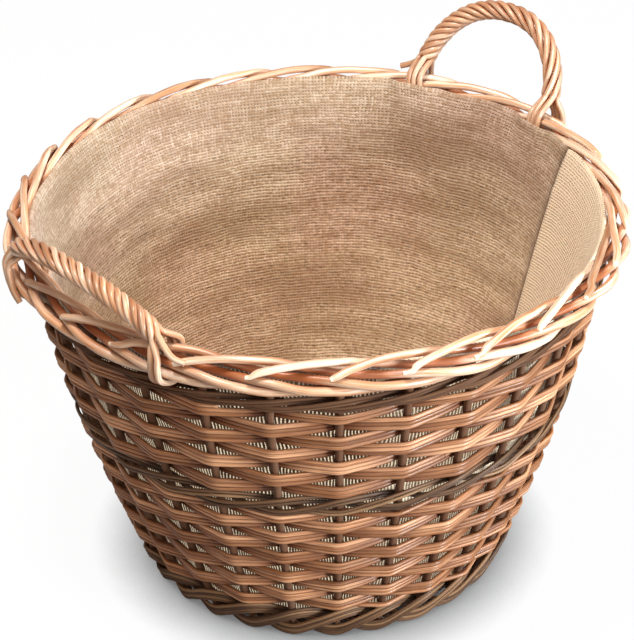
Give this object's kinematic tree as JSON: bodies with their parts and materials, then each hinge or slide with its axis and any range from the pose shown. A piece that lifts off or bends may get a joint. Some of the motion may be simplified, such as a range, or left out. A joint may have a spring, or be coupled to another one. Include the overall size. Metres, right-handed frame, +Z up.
{
  "type": "wicker hamper",
  "caption": "Round open willow hamper that widens towards a braided rim, with a rope-twisted handle on each side and a sewn hessian lining.",
  "frame": {"origin": "middle of the base, on the surface that the hamper stands on", "axes": "+Z up through the open rim; -Y towards the side that the picture looks at; the handles stand near +X+Y and -X-Y"},
  "size_m": [0.5597, 0.5592, 0.4345],
  "materials": {
    "peeled_willow": "satin",
    "buff_willow": "satin",
    "brown_willow": "matte",
    "hessian": "matte"
  },
  "bodies": {
    "root": {"base_cross_stick_1": "buff_willow", "base_cross_stick_2": "buff_willow", "base_cross_stick_3": "buff_willow", "base_cross_stick_4": "buff_willow", "base_slit_stick_1": "buff_willow", "base_slit_stick_2": "buff_willow", "base_slit_stick_3": "buff_willow", "base_weaver_1": "buff_willow", "base_weaver_2": "buff_willow", "bottom_wale_rod_1": "brown_willow", "bottom_wale_rod_2": "brown_willow", "bottom_wale_rod_3": "brown_willow", "front_handle_bow": "peeled_willow", "front_handle_rod_1": "peeled_willow", "front_handle_rod_2": "peeled_willow", "front_handle_rod_3": "peeled_willow", "liner_base": "hessian", "liner_narrow_panel": "hessian", "liner_wide_panel": "hessian", "middle_wale_rod_1": "brown_willow", "middle_wale_rod_2": "brown_willow", "middle_wale_rod_3": "brown_willow", "rear_handle_bow": "peeled_willow", "rear_handle_rod_1": "peeled_willow", "rear_handle_rod_2": "peeled_willow", "rear_handle_rod_3": "peeled_willow", "side_stake_01": "peeled_willow", "side_stake_02": "peeled_willow", "side_stake_03": "peeled_willow", "side_stake_04": "peeled_willow", "side_stake_05": "peeled_willow", "side_stake_06": "peeled_willow", "side_stake_07": "peeled_willow", "side_stake_08": "peeled_willow", "side_stake_09": "peeled_willow", "side_stake_10": "peeled_willow", "side_stake_11": "peeled_willow", "side_stake_12": "peeled_willow", "side_stake_13": "peeled_willow", "side_stake_14": "peeled_willow", "side_stake_15": "peeled_willow", "side_stake_16": "peeled_willow", "side_stake_17": "peeled_willow", "side_stake_18": "peeled_willow", "side_stake_19": "peeled_willow", "side_stake_20": "peeled_willow", "side_stake_21": "peeled_willow", "side_stake_22": "peeled_willow", "side_stake_23": "peeled_willow", "side_stake_24": "peeled_willow", "side_stake_25": "peeled_willow", "side_stake_26": "peeled_willow", "side_stake_27": "peeled_willow", "siding_lower": "buff_willow", "siding_upper": "buff_willow", "top_wale_rod_1": "brown_willow", "top_wale_rod_2": "brown_willow", "top_wale_rod_3": "brown_willow"}
  },
  "joints": []
}
